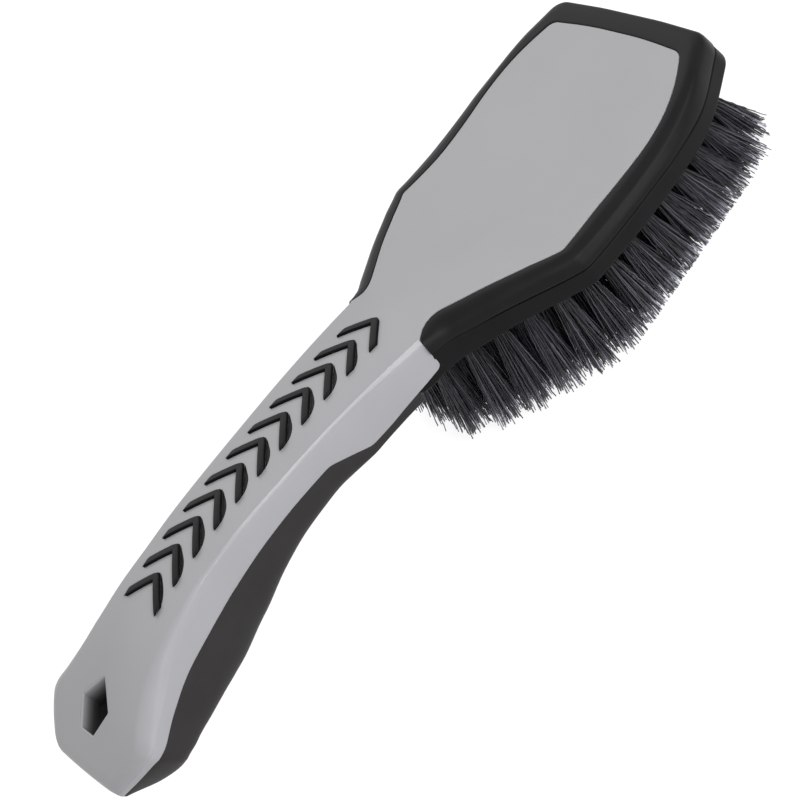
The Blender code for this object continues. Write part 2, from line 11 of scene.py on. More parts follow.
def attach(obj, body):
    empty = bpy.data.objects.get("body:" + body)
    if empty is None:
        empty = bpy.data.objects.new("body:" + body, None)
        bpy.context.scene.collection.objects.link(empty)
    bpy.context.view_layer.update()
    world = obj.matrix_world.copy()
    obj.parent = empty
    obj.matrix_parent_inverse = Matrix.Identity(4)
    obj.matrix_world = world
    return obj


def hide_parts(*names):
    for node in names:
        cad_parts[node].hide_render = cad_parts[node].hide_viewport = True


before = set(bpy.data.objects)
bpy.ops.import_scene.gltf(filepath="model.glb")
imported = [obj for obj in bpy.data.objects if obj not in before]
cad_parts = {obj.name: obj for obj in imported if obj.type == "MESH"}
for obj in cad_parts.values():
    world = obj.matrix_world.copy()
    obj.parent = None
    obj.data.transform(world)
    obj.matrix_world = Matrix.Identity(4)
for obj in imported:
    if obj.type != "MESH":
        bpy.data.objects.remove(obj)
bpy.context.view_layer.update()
mm = 0.001

# The curved back that every piece follows. A station is the distance along it, from the
# first chevron's apex, positive toward the butt. Tables are (station, value) rows; a bell
# is its height, place and reach.
backLine = {
    "span": (-140, 180, 1281),  # stations that it is summed over, and their number
    "height": 46.5,  # of station 0 above the bristle tips
    "shift": 14.11,  # of station 0 along X
    "slope": ((-125, -7.9), (-85, -1), (-45, 8.9), (-15, 14.7), (10, 11.6), (40, 7.2), (70, 4.2),
        (100, -4.5), (125, -18), (150, -27.9)),
    "crown": ((-35, 0), (-12, 0.0025), (0, 0.007), (30, 0.0097), (60, 0.0112), (85, 0.0112),
        (112, 0.0074), (128, 0.0032), (140, 0.0014), (157, 0.0026)),
    "swell": (1.4, -25.5, 11.5),  # a soft bell between head and neck
    "end": 156.85,  # station of the butt's end face
    "endFall": 2.6,  # how far the top falls as it rounds into the end face
    "endRound": 5,
    "skew": (3, -1.5, 5),  # bell by which the rim's left end lies nearer the tip
    "skewSide": (9, 7),  # mm left of the middle where it begins; width over which it grows
}


def smoothTable(rows):
    # cubic through the rows whose slopes are the harmonic mean of the chords beside them,
    # so that it never overshoots
    x, y = np.array(rows, float).T
    step = np.diff(x)
    chord = np.diff(y) / step
    sameWay = chord[:-1] * chord[1:] > 0
    total = np.where(sameWay, chord[:-1] + chord[1:], 1.0)
    slope = np.concatenate([chord[:1], np.where(sameWay, 2 * chord[:-1] * chord[1:] / total, 0),
                            chord[-1:]])

    def value(station):
        s = np.clip(station, x[0], x[-1])
        i = np.clip(np.searchsorted(x, s, side="right") - 1, 0, len(step) - 1)
        t = (s - x[i]) / step[i]
        start = (1 + 2 * t) * (1 - t) ** 2 * y[i] + t * (1 - t) ** 2 * step[i] * slope[i]
        end = t * t * (3 - 2 * t) * y[i + 1] + t * t * (t - 1) * step[i] * slope[i + 1]
        return start + end

    return value


backSlope = smoothTable(backLine["slope"])
backCrown = smoothTable(backLine["crown"])


def bell(s, most, where, reach):
    return most * np.exp(-((s - where) / reach) ** 2)


def grow(s, start, over):
    # 0 up to the start, then straight to 1
    return np.clip((s - start) / over, 0, 1)


def backCurve():
    # running sums of the cosine and sine of the slope, plus the swell
    s = np.linspace(*backLine["span"])
    slope = np.radians(backSlope(s))
    step = s[1] - s[0]
    runs = []
    for rate in (-np.cos(slope), np.sin(slope)):
        run = np.concatenate([[0.0], np.cumsum(rate[1:] + rate[:-1])]) * step / 2
        runs.append(run - np.interp(0.0, s, run))
    rise = bell(s, *backLine["swell"])
    return s, runs[0] + backLine["shift"], runs[1] + backLine["height"] + rise


curveS, curveX, curveZ = backCurve()


def place(s, across, height):
    # point in metres: on the back curve at s, moved across by y and square to it by h; on
    # the left of the neck s is less by the skew
    s, across, height = np.broadcast_arrays(s, across, height)
    s = s - bell(s, *backLine["skew"]) * grow(across, *backLine["skewSide"])
    slope = np.radians(backSlope(s))
    x = np.interp(s, curveS, curveX) + height * np.sin(slope)
    z = np.interp(s, curveS, curveZ) + height * np.cos(slope)
    return np.stack([x, across, z], -1) * mm


def topHeight(s, across):
    # crown * y * y, and a quarter ellipse down at the butt that stops just short of upright
    into = np.clip((s - backLine["end"] + backLine["endRound"]) / backLine["endRound"], 0, 1)
    fall = backLine["endFall"] * (1 - np.sqrt(1 - into ** 2 * 0.999))
    return -backCrown(s) * across ** 2 - fall


def unit(vectors):
    return vectors / np.linalg.norm(vectors, axis=-1, keepdims=True)


def onCircle(turn):
    return np.stack([np.cos(turn), np.sin(turn), 0 * turn], -1)


def roundedPath(corners, like, step):
    # polyline whose corners are arcs of the third value's radius, with a point for every
    # step mm of the path like, so that two outlines can be joined point to point
    def parts(path):
        spots = np.array([c[:2] for c in path], float)
        arcs = [(spots[0], spots[0], None, 0.0)]
        for k in range(1, len(path) - 1):
            back, ahead = unit(spots[k - 1] - spots[k]), unit(spots[k + 1] - spots[k])
            half = math.acos(np.clip(back @ ahead, -1, 1)) / 2
            radius = path[k][2]
            run = radius / math.tan(half)
            middle = spots[k] + unit(back + ahead) * radius / math.sin(half)
            arcs.append((spots[k] + back * run, spots[k] + ahead * run, middle,
                         radius * (math.pi - 2 * half)))
        arcs.append((spots[-1], spots[-1], None, 0.0))
        return arcs

    own, model = parts(corners), parts(like)
    points = [own[0][1][None]]
    for k in range(1, len(own)):
        start, end, middle, _ = own[k]
        last = own[k - 1][1]
        count = max(1, math.ceil(np.linalg.norm(model[k][0] - model[k - 1][1]) / step))
        share = np.arange(1, count + 1)[:, None] / count
        points.append(last + (start - last) * share)
        if middle is None:
            continue
        arm = start - middle
        swing = math.atan2(end[1] - middle[1], end[0] - middle[0]) - math.atan2(arm[1], arm[0])
        swing = (swing + math.pi) % (2 * math.pi) - math.pi
        count = max(3, math.ceil(model[k][3] / step))
        turn = swing * np.arange(1, count + 1) / count
        points.append(middle + np.stack([np.cos(turn) * arm[0] - np.sin(turn) * arm[1],
                                         np.sin(turn) * arm[0] + np.cos(turn) * arm[1]], 1))
    return np.concatenate(points)


def pushOut(path, distance):
    # each point of a half outline moves square to it, away from the middle line
    ahead = unit(np.gradient(path, axis=0))
    ahead[0] = (0.0, 1.0)
    moved = path + np.stack([-ahead[:, 1], ahead[:, 0]], 1) * np.reshape(distance, (-1, 1))
    moved[0, 1] = 0.0
    return moved


def bothHalves(path):
    # from the right end of a half outline round its middle to the left end
    right = path[:0:-1] * np.array([1.0, -1.0])
    return np.concatenate([right, path])


def gridFaces(rows, cols, closedRows=False, closedCols=False):
    # quads between neighbours in a grid of points, which are counted row by row
    r = np.arange(rows if closedRows else rows - 1)
    c = np.arange(cols if closedCols else cols - 1)
    r, c = np.meshgrid(r, c, indexing="ij")
    nextRow, nextCol = (r + 1) % rows, (c + 1) % cols
    return np.stack([r * cols + c, r * cols + nextCol, nextRow * cols + nextCol,
                     nextRow * cols + c], -1).reshape(-1, 4)


def skinFaces(rings):
    # quads through a pile of closed rings, and the first and last ring as faces
    rows, cols = rings.shape[:2]
    ends = [range(cols), range((rows - 1) * cols, rows * cols)]
    return gridFaces(rows, cols, closedCols=True), ends


def addObject(name, data):
    added = bpy.data.objects.new(name, data)
    bpy.context.scene.collection.objects.link(added)
    return added


def makePiece(name, points, quads, more, finish, angle=40):
    # points in metres; doubles are merged, faces turned outward, edges over the angle sharp
    mesh = bpy.data.meshes.new(name)
    faces = np.asarray(quads).tolist() + [list(face) for face in more]
    mesh.from_pydata(np.reshape(points, (-1, 3)).tolist(), [], faces)
    work = bmesh.new()
    work.from_mesh(mesh)
    bmesh.ops.remove_doubles(work, verts=work.verts, dist=0.002 * mm)
    bmesh.ops.recalc_face_normals(work, faces=work.faces)
    work.to_mesh(mesh)
    work.free()
    mesh.shade_smooth()
    mesh.set_sharp_from_angle(angle=math.radians(angle))
    mesh.materials.append(finish)
    return addObject(name, mesh)


def settle(piece, slot, *nodes):
    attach(piece, "root")
    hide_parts(*nodes)


print("shapes ready")


# Materials

def srgb(code):
    # hex colour to linear values
    parts = [int(code[i:i + 2], 16) / 255 for i in (1, 3, 5)]
    return tuple(p / 12.92 if p <= 0.04045 else ((p + 0.055) / 1.055) ** 2.4 for p in parts)


def fillInputs(node, **links):
    # an input by its name, or i and its number, takes a value or another node's socket
    for key, value in links.items():
        socket = node.inputs[int(key[1:]) if key[1:].isdigit() else key.replace("_", " ")]
        if isinstance(value, bpy.types.NodeSocket):
            node.id_data.links.new(value, socket)
        else:
            socket.default_value = value
    return node


def addNode(tree, kind, settings=None, **links):
    node = tree.nodes.new(kind)
    for key, value in (settings or {}).items():
        setattr(node, key, value)
    return fillInputs(node, **links)


def startMaterial(name, values):
    made = bpy.data.materials.new(name)
    made.use_nodes = True
    shader = made.node_tree.nodes["Principled BSDF"]
    fillInputs(shader, Roughness=values["roughness"], IOR=values["ior"],
               Specular_IOR_Level=values["specular"])
    return made, made.node_tree, shader


def ramp(tree, factor, stops):
    # each stop is a place and a hex colour or a share of white
    node = addNode(tree, "ShaderNodeValToRGB", Fac=factor)
    band = node.color_ramp
    while len(band.elements) < len(stops):
        band.elements.new(0.5)
    for element, (at, colour) in zip(band.elements, stops):
        element.position = at
        element.color = (*(srgb(colour) if isinstance(colour, str) else (colour,) * 3), 1.0)
    return node


moulded = {
    "ior": 1.49,
    "glossSpread": (-0.05, 0.07),  # of the roughness over the clouds
    "cloudBreak": 0.55,  # how ragged the clouds are
    "detail": 3.0,
    "grainStrength": 0.15,
    "grainHeight": 0.05,  # mm
    "grainBreak": 0.6,
}


def moulding(name, values):
    # soft clouds in the colour and the gloss, and the mould's fine grain, drawn as coarse
    # as it needs to show
    made, tree, shader = startMaterial(name, values)
    where = addNode(tree, "ShaderNodeTexCoord").outputs["Object"]
    cloud = addNode(tree, "ShaderNodeTexNoise", Vector=where, Detail=values["detail"],
                    Scale=1 / (values["cloudSize"] * mm), Roughness=values["cloudBreak"])
    tint = ramp(tree, cloud.outputs["Fac"], values["colours"])
    grain = addNode(tree, "ShaderNodeTexNoise", Vector=where, Detail=values["detail"],
                    Scale=1 / (values["grainSize"] * mm), Roughness=values["grainBreak"])
    bump = addNode(tree, "ShaderNodeBump", Height=grain.outputs["Fac"],
                   Strength=values["grainStrength"], Distance=values["grainHeight"] * mm)
    low, high = (values["roughness"] + step for step in values["glossSpread"])
    gloss = addNode(tree, "ShaderNodeMapRange", Value=cloud.outputs["Fac"], To_Min=low,
                    To_Max=high)
    fillInputs(shader, Base_Color=tint.outputs["Color"], Normal=bump.outputs["Normal"],
               Roughness=gloss.outputs["Result"])
    return made


# Injection moulded polypropylene: satin, a fine spark eroded grain that softens the
# highlights, and faint clouds in the colour.
greyValues = {
    **moulded,
    "colours": ((0.3, "#a9a9ab"), (0.5, "#ababad"), (0.72, "#adadaf")),
    "roughness": 0.42,
    "glossSpread": (-0.04, 0.05),
    "specular": 0.35,
    "cloudSize": 26,  # mm
    "cloudBreak": 0.5,
    "detail": 2.0,
    "grainSize": 0.55,  # mm between its bumps
    "grainStrength": 0.06,
}
# The same where hands polish the handle's edge: smoother and glossier.
rubbedValues = {**greyValues, "roughness": 0.16, "specular": 0.45}
liningValues = {
    # share of the grey colour kept, the rest painted shade, from the hole's lip, 0, to the
    # sleeve, 1
    "left": ((0, 1), (0.14, 0.83), (0.43, 0.36), (0.71, 0.1), (1, 0.02)),
}


def holeLining():
    # the hang hole's wall, its grey colour darkened toward black with depth as painted shade
    made = moulding("paintedShadeHoleLining", greyValues)
    tree = made.node_tree
    base = tree.nodes["Principled BSDF"].inputs["Base Color"]
    deep = addNode(tree, "ShaderNodeAttribute", {"attribute_name": "deep"})
    # painted shade: the wall's colour is multiplied darker with depth
    left = ramp(tree, deep.outputs["Fac"], liningValues["left"])
    mixed = addNode(tree, "ShaderNodeVectorMath", {"operation": "MULTIPLY"},
                    i0=base.links[0].from_socket, i1=left.outputs["Color"])
    tree.links.new(mixed.outputs["Vector"], base)
    return made


# Thermoplastic rubber moulded over the head: black and satin, with a soft streak where its
# shoulder turns to the light.
rubberValues = {
    **moulded,
    "colours": ((0.35, "#161515"), (0.75, "#1a1919")),
    "roughness": 0.4,
    "specular": 0.125,
    "cloudSize": 9,
    "grainSize": 0.5,
}
# The same rubber under the handle: paler, as painted bounce light from below, and duller.
litGripValues = {
    **rubberValues,
    "colours": ((0.35, "#333131"), (0.75, "#373535")),
    "roughness": 0.5,
    "cloudSize": 12,
}
# The ribs' steep walls: a deeper black that is painted shade, and duller.
shadedWallValues = {
    **rubberValues,
    "colours": ((0.35, "#0c0c0c"), (0.75, "#101010")),
    "roughness": 0.7,
    "specular": 0.08,
}
# Moulded polypropylene of the block: a little duller and deeper black than the rubber.
blockValues = {
    **moulded,
    "colours": ((0.35, "#121111"), (0.75, "#171616")),
    "roughness": 0.46,
    "specular": 0.11,
    "cloudSize": 14,
    "grainSize": 0.6,
}
bristleValues = {
    # by run from root to tip: the dark root is painted shade, the pale tip painted light
    "colours": ((0, "#131315"), (0.46, "#3b3b41"), (0.76, "#3b3b41"), (1, "#8c8c94")),
    "roughness": 0.36,
    "ior": 1.49,
    "specular": 0.5,
    "tones": (0.22, 3.2),  # of the darkest and the palest strand, times the colour
}


def bristleFilament():
    # extruded and crimped filament: smooth sides with a thin line of gloss along each
    # strand, its colour dark at the root as painted shade and paler toward the tip as painted
    # light; "run" is 0 at the root and 1 at the tip, "tone" differs from strand to strand
    made, tree, shader = startMaterial("bristleFilament", bristleValues)
    run, tone = (addNode(tree, "ShaderNodeAttribute", {"attribute_name": key}).outputs["Fac"]
                 for key in ("run", "tone"))
    tint = ramp(tree, run, bristleValues["colours"])
    low, high = bristleValues["tones"]
    light = addNode(tree, "ShaderNodeMapRange", Value=tone, To_Min=low, To_Max=high)
    mixed = addNode(tree, "ShaderNodeVectorMath", {"operation": "SCALE"},
                    i0=tint.outputs["Color"], Scale=light.outputs["Result"])
    fillInputs(shader, Base_Color=mixed.outputs["Vector"])
    return made


grey = moulding("greyPolypropylene", greyValues)
rubbedGrey = moulding("rubbedPolypropylene", rubbedValues)
lining = holeLining()
rubber = moulding("blackRubber", rubberValues)
# the grip's paler rubber is painted light
paintedLightGripRubber = moulding("gripRubberPaintedLight", litGripValues)
paintedShadeWallRubber = moulding("paintedShadeWallRubber", shadedWallValues)
blockBlack = moulding("blackPolypropylene", blockValues)
filament = bristleFilament()
print("materials ready")


# Head and core

head = {
    # from the middle of the tip to the neck: station, across, corner radius
    "panelEdge": ((-114.9, 0, 0), (-114.9, 12, 170), (-113.5, 28.4, 4.5), (-99, 36.1, 50),
        (-84, 37.4, 60), (-60, 36.3, 80), (-43.6, 37.5, 3.5), (-25, 25.8, 200), (-6.87, 13.9, 9),
        (-0.6, 18.3, 0)),
    "rimEdge": ((-122.5, 0, 0), (-122.5, 13, 190), (-121.7, 32.4, 6.5), (-99, 42.6, 72),
        (-84, 44.5, 60), (-60, 44.5, 80), (-44.3, 44.4, 6), (-25.5, 33, 120), (-7.3, 22.2, 12),
        (-0.6, 20.8, 0)),
    "blockTail": ((-0.2, 20.5), (3.5, 20.2), (7, 18.6), (8.6, 15)),
    "seamDepth": ((-123, 7.4), (-104, 7.6), (-88, 6), (-70, 5.3), (-44, 5.85), (-34, 6.45),
        (-25, 6.95), (-17, 6.95), (-10, 6.95), (-1, 7.2)),
    "blockDepth": ((-123, 14.1), (-100, 13.9), (-82, 12.2), (-60, 12), (-46, 12.2), (-36, 12.8),
        (-25, 13.7), (-17, 14.3), (-8, 15.1), (-1, 16), (9, 17.8)),
    # which of the rim's three profiles it has where; the rest is the side's
    "tipShare": ((-123, 1), (-110, 0.95), (-88, 0), (-1, 0)),
    "neckShare": ((-123, 0), (-46, 0), (-36, 1), (-1, 1)),
    "step": 0.9,  # mm between points of an outline
    "edge": 0.35,  # rounding of the panel's edge
    "edgeMost": 0.4,  # share of the width that it may take near the tip
    "neckEnd": -0.3,  # the rim stops here
    "plateGap": 0.05,  # the plate's last section stands this far before that
    "lean": 0.75,  # how far the side's front edge leans under it
    "leanDown": (5.5, 5),  # mm under the back where it begins, then down to full
    "leanReach": 3,  # mm back to where it has faded
}
handle = {
    "topHalf": ((-1, 18.9), (8, 18.2), (16, 17.6), (24, 16.95), (40, 15.9), (56, 15.3),
        (72, 14.8), (88, 14.6), (104, 16.2), (112, 17), (120, 18.7), (128, 21.2), (134.6, 23.6),
        (138.8, 25.4), (141.2, 25.7), (143.2, 25), (148, 22.6), (157, 16.3)),
    "sideDepth": ((-1, 12.3), (3, 12.9), (9, 13.7), (15, 14.9), (21, 15.9), (24.5, 16.25),
        (28.7, 16.5), (29.7, 16.4), (31, 15.95), (34, 14.7), (39, 12.55), (42.4, 11.05),
        (43.5, 10.74), (45, 10.68), (56, 10.65), (62, 10.8), (68, 11.1), (74, 11.45),
        (80, 11.95), (88, 12.6), (94, 12.8), (100, 12.6), (108, 12.25), (112, 11.9), (118, 11),
        (124, 10.1), (130, 9), (135.5, 8.1), (138.5, 7.2), (141.5, 6.2), (144, 5.45),
        (149.5, 4.95), (157, 4.9)),
    "sideFlare": ((-1, 2), (8, 2.5), (16, 2), (24, 1.85), (44, 1.4), (80, 1.5), (112, 1.3),
        (136, 1.2), (157, 0.6)),
    "gripDepth": ((-1, 17.6), (8, 18.6), (16, 19.4), (24, 20.2), (32, 21.4), (48, 23),
        (60, 24.4), (72, 27.4), (88, 32.1), (104, 33.7), (112, 33.1), (120, 31.2), (128, 28.1),
        (136, 23.7), (141.2, 21.2), (143.5, 21.2), (150, 18.4), (157, 7.2)),
    "squareness": ((-1, 7), (26, 6), (48, 4), (157, 4)),
    "edgeRound": ((-1, 1), (10, 0.85), (24, 0.6), (40, 0.48), (80, 0.6), (96, 1.2), (116, 2.6),
        (130, 4.2), (144, 4.4), (157, 3.4)),
    # 1 makes the round a bevel, and below it 1 lets the round turn only at its foot
    "crisp": ((-1, 1), (60, 0.9), (96, 0.6), (118, 0)),
    "late": ((-1, 0), (100, 0), (124, 0.6), (140, 0.75), (157, 0.6)),
    # the faces that hands polish: least X, then z and least y of their normals
    "rubbed": -78,
    "rubbedTilt": (0.56, 0.86),
    "rubbedAside": 0.45,
    "sideBulge": 0.25,
    "nose": 1.3,  # rounding of the grey side's front lower corner
    "noseGap": 0.8,  # from there to the next section
    "gripWall": 2.6,
    "tailEnd": 8.6,  # the grip starts behind the block's tail
    "tailStep": 0.9,  # mm between sections over the tail
    "step": 1,  # and behind it
    "angle": 24,  # degrees that keep the bevel's edges crisp
}
seamDepth, blockDepth, tipShare, neckShare = (
    smoothTable(head[key]) for key in ("seamDepth", "blockDepth", "tipShare", "neckShare"))
topHalf, sideDepth, sideFlare, gripDepth, squareness, edgeRound, crispness, lateness = (
    smoothTable(handle[key]) for key in ("topHalf", "sideDepth", "sideFlare", "gripDepth",
                                         "squareness", "edgeRound", "crisp", "late"))
panelPath = roundedPath(head["panelEdge"], head["rimEdge"], head["step"])
rimPath = roundedPath(head["rimEdge"], head["rimEdge"], head["step"])


def quarter(count):
    # count turns from 0 to a quarter circle
    return np.linspace(0, math.pi / 2, count)


sectionValues = {
    "points": (30, 10, 12, 10),  # along the top, round its edge, down the wall, under it
    "mostRound": 0.45,  # share of the wall that the edge may take
    "near": 0.6,  # where its second spot is, as a share from the corner
}


def halfSection(s, half, bend, wallY, depth, keel, crisp=0.0, late=0.0):
    # from the middle of the top to the edge, round the edge, down the wall and back to the
    # middle under it. The edge is (1-t)^3 start + 3t(1-t)^2 near + 3t^2(1-t) far + t^3 end,
    # far lies between the corner and the end by the share late, and by the share crisp it
    # is the straight line (1-t) start + t end.
    topCount, edgeCount, wallCount, underCount = sectionValues["points"]
    near = sectionValues["near"]
    t = np.linspace(0, 1, edgeCount)[1:]
    corner = topHeight(s, half)
    topY = (half - bend) * np.linspace(0, 1, topCount)
    topH = topHeight(s, topY)
    room = depth + corner
    drop = np.minimum(bend, sectionValues["mostRound"] * room)
    endY = half + (wallY(0.0) - half) + (wallY(1.0) - wallY(0.0)) * drop / room
    spotsY = (half - bend, half - near * bend, half + late * (endY - half), endY)
    spotsH = (topH[:, -1:], near * topH[:, -1:] + (1 - near) * corner, corner - late * drop,
              corner - drop)
    curved = ((1 - t) ** 3, 3 * t * (1 - t) ** 2, 3 * t * t * (1 - t), t ** 3)
    flat = (1 - t, 0, 0, t)
    bendY, bendH = (sum(spot * (r * (1 - crisp) + f * crisp)
                        for spot, r, f in zip(spots, curved, flat))
                    for spots in (spotsY, spotsH))
    f = np.linspace(0, 1, wallCount)[1:]
    sideY = wallY(drop / room + (1 - drop / room) * f)
    sideH = corner - drop + (drop - corner - depth) * f
    back = np.linspace(1, 0, underCount)[1:]
    low = keel - depth
    underY = (sideY[:, -1:] - handle["gripWall"] * (low > 0)) * np.where(low > 0, back ** 0.5,
                                                                          back)
    underH = -depth - low * np.sqrt(1 - back ** 4)
    return np.hstack([topY, bendY, sideY, underY]), np.hstack([topH, bendH, sideH, underH])


def handleSection(s, depth, keel):
    # the side flares out toward its foot and swells a little: flare f + 4 bulge f (1 - f)
    half = topHalf(s)

    def wall(f):
        return half + sideFlare(s) * f + handle["sideBulge"] * 4 * f * (1 - f)

    bottom = gripDepth(s) - handle["gripWall"] if keel else depth
    return halfSection(s, half, edgeRound(s), wall, depth, np.maximum(bottom, depth),
                       crispness(s), lateness(s))


def closeRings(s, y, h):
    # half sections become full rings, mirrored left to right, in metres
    s = np.broadcast_to(s, y.shape)
    left = place(s[:, -2:0:-1], -y[:, -2:0:-1], h[:, -2:0:-1])
    return np.concatenate([place(s, y, h), left], 1)


def cappedTube(rings):
    # skin through closed rings, each end closed by triangles round its middle
    rows, cols = rings.shape[:2]
    points = np.vstack([rings.reshape(-1, 3), rings[0].mean(0), rings[-1].mean(0)])
    i = np.arange(cols)
    around = (i + 1) % cols
    fans = np.vstack([np.column_stack([i, around, 0 * i + rows * cols]),
                      np.column_stack([i, around, 0 * i]) + (rows - 1) * cols])
    fans[cols:, 2] = rows * cols + 1
    return points, gridFaces(rows, cols, closedCols=True), fans.tolist()


def handleStations(first):
    # every step along the handle, closer where the top rounds into the end
    last = backLine["end"] - backLine["endRound"]
    return np.concatenate([np.arange(first, last, handle["step"]),
                           last + backLine["endRound"] * np.sin(quarter(12))])[:, None]


def coreRings():
    # head plate from its outline, then the handle, whose front lower corner is rounded
    start = head["neckEnd"]
    plate = np.vstack([panelPath[1:-1], (start - head["plateGap"], topHalf(start))])
    s, half = plate[:, :1], plate[:, 1:]
    bend = np.minimum(head["edge"], half * head["edgeMost"])
    depth = seamDepth(s)
    parts = [(s, *halfSection(s, half, bend, lambda f: half + 0 * f, depth, depth))]
    nose = handle["nose"]
    behind = np.arange(nose + handle["noseGap"], handle["tailEnd"] - start,
                       handle["tailStep"])
    s = (start + np.concatenate([nose * (1 - np.cos(quarter(8))), behind]))[:, None]
    into = 1 - grow(s, start, nose)
    y, h = handleSection(s, sideDepth(s) - nose * (1 - np.sqrt(1 - into ** 2)), False)
    lean = head["lean"] * grow(-h, *head["leanDown"]) * (1 - grow(s, start, head["leanReach"]))
    parts.append((s - lean, y, h))
    s = handleStations(handle["tailEnd"])
    parts.append((s, *handleSection(s, sideDepth(s), True)))
    return np.concatenate([closeRings(*part) for part in parts])


hole = {
    # middle of its shoulders, from the butt's end and across; its corners round that
    "middle": (-20.25, 0.6),
    "corners": ((-8.1, 0), (0, 6.85), (8.25, 3.2), (8.25, -3.2), (0, -6.85)),
    "cornerRound": 0.4,
    "cornerPoints": 6,
    "lip": 0.5,  # rounding of its edge
    "lipOver": 0.35,  # beyond that the grey ring reaches into the core
    "coreCut": 0.3,  # the core is cut to here
    "sunk": 0.02,  # the ring's outer edge under the core's surface
    "greyDepth": 7,  # below that the rubber sleeve lines it
    "sleeveOver": 0.3,  # it reaches into the grip
    "gripCut": 0.2,  # the grip is cut to here
    "sleeveIn": 0.06,  # it stands back from the grey wall
    "sleeveGap": 0.05,  # and under it
    "sleeveRound": (0.3, 0.25),  # rounding of its lower edge: outward, upward
    "sleeveFoot": 0.6,  # its outer edge above the grip's underside
    "cutHeight": 90,
}


def holePath(margin):
    # five sided outline as x, y in mm, each corner an arc, all moved outward by the margin
    spots = np.array(hole["corners"]) + hole["middle"] + (backLine["end"], 0)
    spots[:, 0] = place(spots[:, 0], 0.0, 0.0)[:, 0] / mm
    back, ahead = (unit(np.roll(spots, by, 0) - spots) for by in (1, -1))
    half = np.arccos((back * ahead).sum(1)) / 2
    inward = unit(back + ahead)
    middle = spots + inward * (hole["cornerRound"] / np.sin(half))[:, None]
    aim = np.arctan2(-inward[:, 1], -inward[:, 0])
    turn = aim[:, None] + (math.pi / 2 - half)[:, None] * \
        np.linspace(-1, 1, hole["cornerPoints"])
    reach = hole["cornerRound"] + margin
    return (middle[:, None] + reach * onCircle(turn)[..., :2]).reshape(-1, 2)


def levelAt(path, height):
    # z in mm where the surface height(s, y) above the back curve meets each spot of a path
    x, y = path.T
    s = np.interp(-x, -curveX, curveS)
    for _ in range(8):
        tilt = np.sin(np.radians(backSlope(s)))
        s = np.interp(-(x - height(s, y) * tilt), -curveX, curveS)
    return place(s, y, height(s, y))[:, 2] / mm


def gripBottom(s, y):
    # underside of the grip: a superellipse, as deep as 1 - share^n to the power 1/n
    edge = topHalf(s) + sideFlare(s)
    top = sideDepth(s)
    power = squareness(s)
    share = np.clip(np.abs(y) / edge, 0, 1)
    return -top - (gripDepth(s) - top) * (1 - share ** power) ** (1 / power)


def stackRings(levels):
    # each level is an outline in mm and its height or heights
    return np.stack([np.column_stack([path, 0 * path[:, 0] + z]) for path, z in levels]) * mm


def makeCutter(margin):
    # prism through the whole brush on the hole's outline
    path = holePath(hole["lip"] + margin)
    rings = stackRings([(path, 0), (path, hole["cutHeight"])])
    return makePiece("cutter", rings, *skinFaces(rings), grey)


def cutThrough(piece, cutter, angle=40):
    # exact Boolean, its result kept as the piece's own mesh
    step = piece.modifiers.new("cut", "BOOLEAN")
    step.operation = "DIFFERENCE"
    step.solver = "EXACT"
    step.object = cutter
    graph = bpy.context.evaluated_depsgraph_get()
    shape = bpy.data.meshes.new_from_object(piece.evaluated_get(graph))
    piece.modifiers.clear()
    piece.data = shape
    bpy.data.objects.remove(cutter, do_unlink=True)
    shape.shade_smooth()
    shape.set_sharp_from_angle(angle=math.radians(angle))


def readVectors(items, key):
    flat = np.empty(len(items) * 3, np.float32)
    items.foreach_get(key, flat)
    return flat.reshape(-1, 3)


def makeHoleLip():
    # from under the top face up to the surface, over the rounded lip and down the wall;
    # "deep" is 0 at the lip and 1 where the rubber sleeve starts, and darkens the wall with
    # painted shade
    lip, depth = hole["lip"], hole["greyDepth"]
    outer, inner = holePath(lip + hole["lipOver"]), holePath(0.0)
    low = levelAt(inner, lambda s, y: topHeight(s, y) - depth)
    levels = [(outer, low), (outer, levelAt(outer, topHeight) - hole["sunk"])]
    for turn in quarter(6):
        path = holePath(lip * (1 - math.sin(turn)))
        levels.append((path, levelAt(path, topHeight) - lip * (1 - math.cos(turn))))
    top = levelAt(inner, topHeight) - lip
    levels += [(inner, top + (low - top) * f) for f in np.linspace(0, 1, 9)[1:]]
    rings = stackRings(levels)
    piece = makePiece("greyHoleLip", rings, gridFaces(*rings.shape[:2], True, True), (),
                      lining)
    deep = piece.data.attributes.new("deep", "FLOAT", "POINT")
    spots = readVectors(piece.data.vertices, "co") / mm
    below = levelAt(spots[:, :2], topHeight) - spots[:, 2]
    deep.data.foreach_set("value", (below / depth).astype(np.float32))
    settle(piece, "grey_plastic", "core")


def makeHoleSleeve():
    # rubber lining from just under the grey lip down to the grip's underside
    inward, (aside, up) = hole["sleeveIn"], hole["sleeveRound"]
    outer, inner = holePath(hole["lip"] + hole["sleeveOver"]), holePath(inward)
    high = levelAt(inner, lambda s, y: topHeight(s, y) - hole["greyDepth"]
                   - hole["sleeveGap"])
    bottom = levelAt(inner, gripBottom) + up
    levels = [(outer, high), (inner, high)]
    levels += [(inner, high + (bottom - high) * f) for f in np.linspace(0, 1, 5)[1:]]
    for turn in quarter(5)[1:]:
        path = holePath(inward + aside * (1 - math.cos(turn)))
        levels.append((path, levelAt(path, gripBottom) + up * (1 - math.sin(turn))))
    levels.append((outer, levelAt(outer, gripBottom) + hole["sleeveFoot"]))
    rings = stackRings(levels)
    piece = makePiece("rubberHoleSleeve", rings, gridFaces(*rings.shape[:2], True, True), (),
                      paintedLightGripRubber)
    settle(piece, "rubber", "grip")


def paintFaces(mesh, choose):
    # the second material goes on the faces that choose picks by their normals and middles
    picked = choose(*(readVectors(mesh.polygons, key) for key in ("normal", "center")))
    mesh.polygons.foreach_set("material_index", picked.astype(np.int32))


